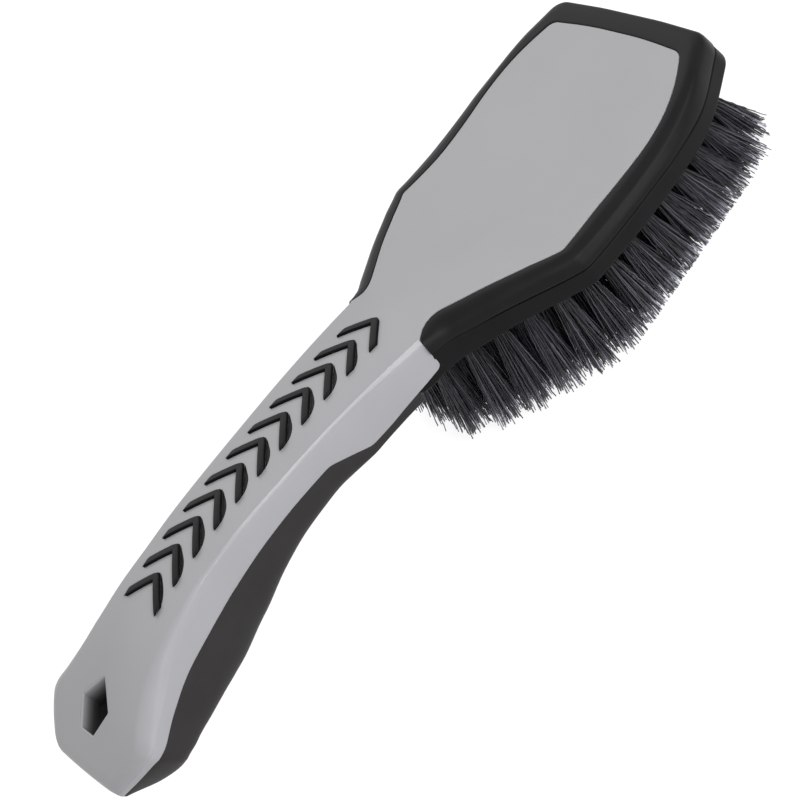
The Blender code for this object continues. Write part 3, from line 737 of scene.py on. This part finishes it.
def makeCore():
    points, faces, fans = cappedTube(coreRings())
    piece = makePiece("greyCore", points, faces, fans, grey)
    cutThrough(piece, makeCutter(hole["coreCut"]), handle["angle"])
    piece.data.materials.append(rubbedGrey)
    low, high = handle["rubbedTilt"]
    paintFaces(piece.data, lambda n, c: (n[:, 2] > low) & (n[:, 2] < high)
               & (np.abs(n[:, 1]) > handle["rubbedAside"]) & (c[:, 0] > handle["rubbed"] * mm))
    settle(piece, "grey_plastic", "core")


makeCore()
makeHoleLip()
print("core ready")


rim = {
    # share of the way out from the panel, share of the fall to the seam, lift above the
    # panel in mm: a full shoulder at the tip, a bevel along the sides, round at the neck
    "tip": ((0.03, 0, 0.06), (0.08, 0, 0.12), (0.18, 0, 0.14), (0.32, 0, 0.14),
        (0.46, 0.002, 0.12), (0.56, 0.01, 0.09), (0.66, 0.03, 0.04), (0.76, 0.06, 0),
        (0.85, 0.093, 0), (0.91, 0.125, 0), (0.955, 0.18, 0), (0.985, 0.27, 0), (1, 0.42, 0),
        (1, 0.94, 0)),
    "side": ((0.03, 0, 0.05), (0.08, 0, 0.07), (0.16, 0.003, 0.07), (0.27, 0.013, 0.06),
        (0.36, 0.035, 0.04), (0.44, 0.07, 0.02), (0.52, 0.11, 0.01), (0.6, 0.155, 0),
        (0.69, 0.21, 0), (0.75, 0.27, 0), (0.79, 0.345, 0), (0.86, 0.47, 0), (0.93, 0.6, 0),
        (0.98, 0.74, 0)),
    "neck": ((0.03, 0, 0.05), (0.08, 0.002, 0.07), (0.16, 0.004, 0.1), (0.28, 0.015, 0.12),
        (0.4, 0.036, 0.12), (0.52, 0.07, 0.1), (0.64, 0.12, 0.06), (0.74, 0.18, 0.03),
        (0.84, 0.27, 0), (0.91, 0.38, 0), (0.96, 0.52, 0), (0.985, 0.66, 0), (1, 0.8, 0),
        (1, 0.945, 0)),
    "first": ((0, 0, -0.6), (0, 0, -0.15)),  # what all three begin and end with
    "last": ((0.98, 0.985, 0), (0.94, 1, 0)),
    "inset": 0.1,  # mm from the panel's edge to its inner edge
    "overlap": 0.45,  # mm, how far its end bulges over the handle's side
    "bulgeEnd": (-6, 5),  # station where that begins, and over how much it grows
    "bulgeTurns": (0.1, 0.75),
    "angle": 50,
}


def makeRim():
    # a profile carried along the outline: level = top + lift - fall (seam depth + top); at
    # the neck its end bulges by overlap sin(pi (1/10 + 3/4 fall))
    inner = bothHalves(pushOut(panelPath, rim["inset"]))[:, None]
    outer = bothHalves(rimPath)[:, None]
    tip, side, neck = (np.array([rim["first"] + rim[key] + rim["last"]])
                       for key in ("tip", "side", "neck"))
    s = inner[..., :1]
    section = side + (tip - side) * tipShare(s) + (neck - side) * neckShare(s)
    spots = inner + (outer - inner) * section[..., :1]
    fall, lift = section[..., 1], section[..., 2]
    near = grow(spots[..., 0], *rim["bulgeEnd"]) ** 2
    first, more = rim["bulgeTurns"]
    bulge = rim["overlap"] * np.sin(math.pi * (first + more * fall))
    s, y = spots[..., 0] + near * bulge, spots[..., 1]
    top = topHeight(s, y)
    skin = place(s, y, top + lift - fall * (seamDepth(s) + top + lift))
    low = place(inner[..., 0], inner[..., 1], -seamDepth(inner[..., 0]))
    rings = np.concatenate([skin, low], 1)
    piece = makePiece("rubberRim", rings, *skinFaces(rings), rubber, rim["angle"])
    settle(piece, "rubber", "rim")


makeRim()
print("rim ready")


block = {
    "inset": 0.25,  # from the rim's outline
    "round": 0.9,  # of its lower edge
    "seam": 0.55,  # gap under the rim
    "seamEnd": (12, 8),  # it closes this far before station 0, over so many mm
    "seamLeast": 0.1,  # share of it that is left there
    "bevel": 0.3,  # of its upper edge
    "rings": 7,  # down its wall
    "underRings": 12,
    "ridge": 0.02,  # share of the width that is left at the middle line
}


def makeBlock():
    # outlines stacked from the seam down the wall, round the lower edge and over the
    # underside to its middle line
    inset, bevel, bend = block["inset"], block["bevel"], block["round"]
    outline = np.vstack([rimPath, head["blockTail"]])
    s = outline[:, 0]
    seam = np.maximum(grow(-s, *block["seamEnd"]), block["seamLeast"]) * block["seam"]
    top = -np.where(s > head["neckEnd"], sideDepth(s), seamDepth(s)) - seam
    wall = pushOut(outline, -inset)
    foot = -blockDepth(wall[:, 0]) + bend
    levels = [(pushOut(outline, -inset - bevel), top), (wall, top - bevel)]
    levels += [(wall, top - bevel + (foot - top + bevel) * f)
               for f in np.linspace(0, 1, block["rings"])[1:]]
    for turn in quarter(6)[1:]:
        ring = pushOut(outline, -inset - bend * (1 - math.cos(turn)))
        levels.append((ring, -blockDepth(ring[:, 0]) + bend * (1 - math.sin(turn))))
    for f in np.linspace(1, block["ridge"], block["underRings"])[1:]:
        levels.append((ring * (1.0, f), -blockDepth(ring[:, 0])))
    spots = np.stack([bothHalves(path) for path, _ in levels])
    height = np.stack([np.concatenate([z[:0:-1], z]) for _, z in levels])
    rings = place(spots[..., 0], spots[..., 1], height)
    rows, cols = rings.shape[:2]
    half = (cols - 1) // 2
    across = [(i, i + 1, cols - 2 - i, cols - 1 - i) for i in range(half - 1)]
    across.append((half - 1, half, half + 1))
    lids = [[first + i for i in face] for first in (0, (rows - 1) * cols) for face in across]
    edge = np.arange(rows) * cols
    lids.append(np.concatenate([edge, edge[::-1] + cols - 1]).tolist())
    piece = makePiece("bristleBlock", rings, gridFaces(rows, cols), lids, blockBlack)
    settle(piece, "block_plastic", "block")


makeBlock()
print("block ready")


grip = {
    "behind": 0.3,  # mm from the tail's end to its front
    "gap": 0.06,  # under the grey side
    "shoulder": (0.45, 0.12, 0.0),  # its first three rows: in from the side, and down
    "shoulderDrop": (0.0, 0.05, 0.3),
    "firstTurn": 0.04,
    "points": 36,
    "leastHollow": 0.3,
}


def makeGrip():
    # U shaped wall under the handle: a superellipse, y = edge cos^(2/n), depth by
    # sin^(2/n), and the same a wall's thickness smaller inside
    s = handleStations(handle["tailEnd"] + grip["behind"])
    edge = topHalf(s) + sideFlare(s)
    top = sideDepth(s) + grip["gap"]
    depth = gripDepth(s)
    power = 2 / squareness(s)
    turn = np.linspace(grip["firstTurn"], math.pi / 2, grip["points"])
    wall, drop = handle["gripWall"], grip["shoulderDrop"]
    outerY = np.hstack([*(edge - y for y in grip["shoulder"]), edge * np.cos(turn) ** power])
    outerH = np.hstack([*(-top - h for h in drop),
                        -top - drop[-1] - (depth - top - drop[-1]) * np.sin(turn) ** power])
    innerY = np.hstack([edge - wall, (edge - wall) * np.cos(turn) ** power])
    inside = np.maximum(depth - wall - top, grip["leastHollow"])
    innerH = np.hstack([-top, -top - inside * np.sin(turn) ** power])
    y = np.hstack([-outerY, outerY[:, -2::-1], innerY, -innerY[:, -2::-1]])
    h = np.hstack([outerH, outerH[:, -2::-1], innerH, innerH[:, -2::-1]])
    rings = place(s, y, h)
    piece = makePiece("rubberGrip", rings, *skinFaces(rings), paintedLightGripRubber)
    cutThrough(piece, makeCutter(hole["gripCut"]))
    settle(piece, "rubber", "grip")


makeGrip()
makeHoleSleeve()
print("grip ready")


rib = {
    "count": 11,
    "pitch": 9.6,
    "shift": -0.2,  # of the first apex along the back
    "across": -0.6,  # of the whole row
    "arm": (8.7, 8.5),  # its direction: back, outward
    "outset": 0.45,  # outer edge beyond the line from the apex
    "width": 2.45,  # across an arm at its foot
    "lean": 0.16,  # of its walls
    "height": 0.99,
    "edge": 0.24,  # rounding of the top's edges
    "armEnd": (8.1, 8.3) + (8.4,) * 8 + (8.6,),  # ends are cut along the handle
    "corner": (0.3, 0.5) + (0.7,) * 8 + (1.3,),  # rounding of the ends' corners
    "endFrom": 0.9,  # share of an arm where its rounded end begins
    "apexRound": (0.55, 0, 0.8),  # bell by which the apex is filled
    "pad": (0.0, 0.7) + (1.3,) * 7 + (1.1, 0.8),  # width beside the right arm
    "padPeak": (0.5, 0.76) + (0.72,) * 7 + (0.72, 0.67),
    "leftPad": 0.3,  # share of it beside the left arm
    "padLift": 0.1,
    "padFullness": 0.6,
    "padEdge": 0.12,  # slope at its rim
    "padLeast": (0.02, 0.015, 0.01),  # mm left of its foot, top and groove without a pad
    "groove": 0.3,  # depth of the line between pad and arm
    "foot": 1.0,  # mm of the rib inside the core
    "steps": 24,  # along an arm, and then at these shares of it
    "endSteps": (0.93, 0.96, 0.985, 1.0),
    "angle": 35,
    "steep": 0.5,  # its walls are faces whose normals have less z
}


def makeRib(number):
    # a chevron band: u runs out along an arm; across it go pad, groove, outer wall, rounded
    # top, inner wall. A line at offset o outside the arm's axis starts on the middle plane
    # and ends armEnd from it, less a quarter round near the two corners. Pad width = widest
    # sin(pi u^p)^fullness, its peak at u = padPeak.
    along = unit(np.array(rib["arm"]))
    outward = np.array([-along[1], along[0]])
    near = rib["endFrom"]
    u = np.concatenate([np.linspace(0, near, rib["steps"]), rib["endSteps"]])[:, None]
    width, lean, edge, height = (rib[k] for k in ("width", "lean", "edge", "height"))
    power = math.log(0.5) / math.log(rib["padPeak"][number])
    turn = quarter(4)
    outerEdge = -lean - edge * (1 - np.cos(turn))
    innerEdge = -width + lean + edge * (1 - np.cos(turn[::-1]))
    rise = height - edge * (1 - np.sin(turn))
    lift, groove, foot = (rib[k] for k in ("padLift", "groove", "foot"))
    level = np.concatenate([(-foot, 0.0, lift, lift * 0.4, -groove), rise, rise[::-1],
                            (-0.1, -foot)])
    footLeast, topLeast, grooveLeast = rib["padLeast"]
    lines = []
    for hand, share in ((-1, 1.0), (1, rib["leftPad"])):
        pad = share * rib["pad"][number] * \
            np.sin(math.pi * u ** power * 0.999) ** rib["padFullness"] + footLeast
        offset = np.hstack([pad, pad, np.maximum(pad - rib["padEdge"], topLeast),
                            pad * 0 + grooveLeast,
                            np.repeat([(0, *outerEdge, *innerEdge, -width, -width)],
                                      len(u), 0)])
        q = offset / width * 2 + 1  # 1 at the outer edge, -1 inside
        cut = rib["corner"][number] * np.clip(np.abs(q) * 1.6 - 0.6, 0, 1) ** 2
        offset = offset + rib["outset"]
        start = -offset * outward[1] / along[1]
        end = (rib["armEnd"][number] - cut - offset * outward[1]) / along[1]
        reach = start + (end - start) * u
        back = reach * along[0] + offset * outward[0]
        out = reach * along[1] + offset * outward[1]
        back = back + bell(out, *rib["apexRound"]) * (q > 0)
        drop = np.clip(level / height, 0, 1) * edge * grow(u, near, 0.1) ** 2
        lines.append(np.stack([back, hand * out, level - drop], -1))
    line = np.concatenate([lines[0][:0:-1], lines[1]])
    s = rib["pitch"] * number + rib["shift"] + line[..., 0]
    y = rib["across"] + line[..., 1]
    rings = place(s, y, topHeight(s, y) + line[..., 2])
    piece = makePiece("rubberRib%02d" % (number + 1), rings, *skinFaces(rings), rubber,
                      rib["angle"])
    piece.data.materials.append(paintedShadeWallRubber)
    # the steep walls get the darker black of painted shade
    paintFaces(piece.data, lambda n, c: np.abs(n[:, 2]) < rib["steep"])
    settle(piece, "rubber", "rib_%02d" % (number + 1))


for number in range(rib["count"]):
    makeRib(number)
print("ribs ready")


field = {
    "rows": 14,
    "firstRow": -107,  # station of the row nearest the tip
    "lastRow": -5.2,
    "pitch": 8.7,  # mm between tufts of a row
    "outerTuft": ((-107, 31.6), (-100, 36.2), (-88, 39), (-66, 39.3), (-45, 38.6), (-24, 27.5),
        (-10, 17), (-3.6, 10.5)),
    # from root to tip: growth across, and mm toward the butt
    "spread": ((-107, 1.11), (-60, 1.11), (-30, 1.05), (-3.6, 1)),
    "lean": ((-107, -4.4), (-85, -3), (-60, 0.3), (-45, 2.6), (-30, 5), (-15, 6.2), (-5.2, 5.8)),
    "raise": ((-107, 0), (-40, 0), (-20, 1), (-5.2, 3)),  # of the tips
    "strands": 134,  # in a tuft
    "turn": 2.39996,  # radians between strands, the sunflower rule's
    "turnJitter": 0.4,
    "holeRadius": 2.3,
    "sink": 0.6,  # mm of a strand inside the block
    "tipRadius": 5.7,  # of a tuft at its tips
    "tipSpread": (0.88, 1.06),
    "strandRadius": 0.21,
    "strandSpread": (0.8, 1.15),
    "crimp": 0.13,  # mm, height of the waves
    "crimpSpread": (0.5, 1.3),
    "waveLength": 4.6,  # mm
    "waveSpread": (0.85, 1.2),
    "calm": 8,  # waves are full after one part in this many of its length
    "bow": 0.3,  # mm
    "stray": 0.85,  # mm, how far tips wander
    "ragged": 0.6,  # mm, how unequal the tips are
    "raggedMost": 3,
    "segments": 14,
    "sideLimit": 46.4,  # mm, the farthest a tip may stand to the side
    "floorGap": 0.02,
    "seed": 7,
}
outerTuft, tuftSpread, tuftLean, tipRaise = (
    smoothTable(field[key]) for key in ("outerTuft", "spread", "lean", "raise"))


def tuftRoots(row):
    # evenly spaced tufts across a row, one fewer in every other long row
    s = field["firstRow"] + (field["lastRow"] - field["firstRow"]) * row / (field["rows"] - 1)
    reach = outerTuft(s)
    count = int(2 * reach / field["pitch"]) + 1
    count -= row % 2 and count > 6
    return s, place(s, np.linspace(-reach, reach, count), -blockDepth(s)) / mm


def makeRow(row, dice):
    # each strand is a three sided tube round the line
    #   root + (tip - root) t + side crimp sin(2 pi (length t / wave length + phase)) + bow
    # its root in the tuft's hole and its tip over a wider circle, both by the sunflower rule
    s, base = tuftRoots(row)
    each = field["strands"]
    total = each * len(base)
    foot = np.column_stack([base[:, 0] - tuftLean(s), base[:, 1] * tuftSpread(s)])
    tuft = np.repeat(np.arange(len(base)), each)
    k = np.tile(np.arange(each), len(base))
    jitter = field["turnJitter"]
    turn = k * field["turn"] + dice.uniform(-jitter, jitter, total)
    out = np.sqrt((k + 0.5) / each)
    circle = onCircle(turn)[:, :2] * out[:, None]
    slope = math.radians(float(backSlope(s)))
    root = base[tuft] + np.column_stack([circle[:, 0] * math.cos(slope), circle[:, 1],
                                         -circle[:, 0] * math.sin(slope)]) * \
        field["holeRadius"] + (0, 0, field["sink"])
    wide = field["tipRadius"] * dice.uniform(*field["tipSpread"], total)
    tip = foot[tuft] + circle * wide[:, None] + dice.normal(0, field["stray"], (total, 2))
    tip[:, 1] = np.clip(tip[:, 1], -field["sideLimit"], field["sideLimit"])
    uneven = np.abs(dice.normal(0, field["ragged"], total))
    lift = tipRaise(s) + np.minimum(uneven, field["raggedMost"])
    tip = np.column_stack([tip, lift])
    t = np.linspace(0, 1, field["segments"] + 1)
    waves = np.linalg.norm(tip - root, axis=1) / field["waveLength"] * \
        dice.uniform(*field["waveSpread"], total)
    swing = dice.uniform(0, 2 * math.pi, total)
    size = field["crimp"] * dice.uniform(*field["crimpSpread"], total)
    phase = dice.uniform(0, 1, total)
    wave = np.sin(2 * math.pi * (waves[:, None] * t + phase[:, None])) * size[:, None] * \
        np.clip(t * field["calm"], 0, 1)
    bow = np.sin(math.pi * t) * dice.normal(0, field["bow"], total)[:, None]
    side = onCircle(swing)
    other = side[:, (1, 0, 2)] * (-1, 1, 1)
    path = root[:, None] + (tip - root)[:, None] * t[:, None] + \
        side[:, None] * wave[..., None] + other[:, None] * bow[..., None]
    angle = swing[:, None] + np.radians((0, 120, 240))
    thick = field["strandRadius"] * dice.uniform(*field["strandSpread"], total)
    ring = onCircle(angle) * thick[:, None, None]
    points = path[:, :, None] + ring[:, None]
    points[..., 2] = np.maximum(points[..., 2], field["floorGap"])
    rows = len(t)
    first = np.arange(total)[:, None] * rows * 3
    tube = gridFaces(rows, 3, closedCols=True)
    quads = (first[..., None] + tube).reshape(-1, 4)
    ends = np.vstack([first + (2, 1, 0), first + (rows - 1) * 3 + np.array((0, 1, 2))])
    fillMesh("bristleRow%02d" % (row + 1), points.reshape(-1, 3) * mm, quads, ends,
             {"run": np.repeat(np.tile(t, total), 3),
              "tone": np.repeat(dice.uniform(0, 1, total) ** 3, rows * 3)},
             "bristles_%02d" % (row + 1))


def fillMesh(name, points, quads, ends, values, node):
    # loops and faces written as whole arrays: first the quads, then the triangles
    mesh = bpy.data.meshes.new(name)
    mesh.vertices.add(len(points))
    mesh.vertices.foreach_set("co", points.astype(np.float32).ravel())
    loops = np.concatenate([quads.ravel(), ends.ravel()]).astype(np.int32)
    starts = np.concatenate([np.arange(len(quads)) * 4,
                             len(quads) * 4 + np.arange(len(ends)) * 3]).astype(np.int32)
    mesh.loops.add(len(loops))
    mesh.loops.foreach_set("vertex_index", loops)
    mesh.polygons.add(len(starts))
    mesh.polygons.foreach_set("loop_start", starts)
    mesh.update(calc_edges=True)
    for key, value in values.items():
        layer = mesh.attributes.new(key, "FLOAT", "POINT")
        layer.data.foreach_set("value", value.astype(np.float32))
    mesh.validate()
    mesh.shade_smooth()
    mesh.materials.append(filament)
    settle(addObject(name, mesh), "bristle_nylon", node)


dice = np.random.default_rng(field["seed"])
for row in range(field["rows"]):
    makeRow(row, dice)
print("bristles ready")


studio = {
    "floorGlow": 0.86,  # what the camera sees of the sweep: glow plus a share of
    "floorShare": 0.34,  # the light that falls on it, so that the shadow stays
    "floorPaper": 0.85,  # what the object sees of it
    "worldLight": 0.42,
    "aim": (0, 0, 0.04),
    # softboxes: place, width and height in metres, watts, tint
    "lamps": {
        "keySoftbox": ((0.35, -0.67, 0.86), (0.62, 0.26), 2.5, (1, 1, 1)),
        "backSoftbox": ((0.22, 0.8, 0.85), (1.1, 0.7), 3.3, (1, 1, 1)),
        "frontStrip": ((0.15, -0.85, 0.56), (1.0, 0.2), 3.4, (1, 1, 1)),
        "sideSoftbox": ((0.1, -1.0, 0.2), (0.9, 0.3), 1.35, (0.7, 0.72, 1)),
    },
    "floorHalf": 4.0,
    # the photograph's view, found from the outlines of the head and the handle
    "lens": 101.536,
    "cameraPlace": (-0.09619, -0.49899, 0.44476),
    "cameraTurn": (39.042, 34.555, -46.008),  # degrees round X, Y and Z
}


def seenDirectly(tree):
    # 1 for rays from the camera, mirrored or straight, 0 for those that gather light
    path = addNode(tree, "ShaderNodeLightPath")
    seen = path.outputs["Is Camera Ray"]
    for ray in ("Is Glossy Ray", "Is Transmission Ray"):
        seen = addNode(tree, "ShaderNodeMath", {"operation": "MAXIMUM"}, i0=seen,
                       i1=path.outputs[ray]).outputs[0]
    return seen


def makeFloor():
    half = studio["floorHalf"]
    mesh = bpy.data.meshes.new("floor")
    mesh.from_pydata([(-half, -half, 0), (half, -half, 0), (half, half, 0), (-half, half, 0)],
                     [], [(0, 1, 2, 3)])
    made = bpy.data.materials.new("whiteSweep")
    made.use_nodes = True
    tree = made.node_tree
    tree.nodes.clear()
    paper, share = (addNode(tree, "ShaderNodeBsdfDiffuse", Color=(studio[key],) * 3 + (1,))
                    for key in ("floorPaper", "floorShare"))
    glow = addNode(tree, "ShaderNodeEmission", Strength=studio["floorGlow"])
    both = addNode(tree, "ShaderNodeAddShader", i0=share.outputs[0], i1=glow.outputs[0])
    mix = addNode(tree, "ShaderNodeMixShader", i0=seenDirectly(tree), i1=paper.outputs[0],
                  i2=both.outputs[0])
    addNode(tree, "ShaderNodeOutputMaterial", i0=mix.outputs[0])
    mesh.materials.append(made)
    addObject("floor", mesh)


def makeWorld():
    world = bpy.data.worlds.new("studio")
    world.use_nodes = True
    bpy.context.scene.world = world
    tree = world.node_tree
    tree.nodes.clear()
    strength = addNode(tree, "ShaderNodeMapRange", Value=seenDirectly(tree),
                       To_Min=studio["worldLight"])
    back = addNode(tree, "ShaderNodeBackground", Color=(1, 1, 1, 1),
                   Strength=strength.outputs[0])
    addNode(tree, "ShaderNodeOutputWorld", i0=back.outputs[0])


def addLamp(name, where, size, power, tint):
    data = bpy.data.lights.new(name, "AREA")
    data.shape = "RECTANGLE"
    data.size, data.size_y = size
    data.energy = power
    data.color = tint
    away = Vector(where) - Vector(studio["aim"])
    addObject(name, data).matrix_world = Matrix.Translation(where) @ \
        away.to_track_quat("Z", "Y").to_matrix().to_4x4()


def makeCamera():
    data = bpy.data.cameras.new("camera")
    data.sensor_width = 36
    data.lens = studio["lens"]
    data.clip_start = 0.01
    camera = addObject("camera", data)
    turn = Euler([math.radians(angle) for angle in studio["cameraTurn"]])
    camera.matrix_world = Matrix.LocRotScale(Vector(studio["cameraPlace"]), turn, None)
    bpy.context.scene.camera = camera


makeFloor()
makeWorld()
for name, lamp in studio["lamps"].items():
    addLamp(name, *lamp)
makeCamera()
bpy.context.scene.view_settings.view_transform = "Standard"
print("stage ready")
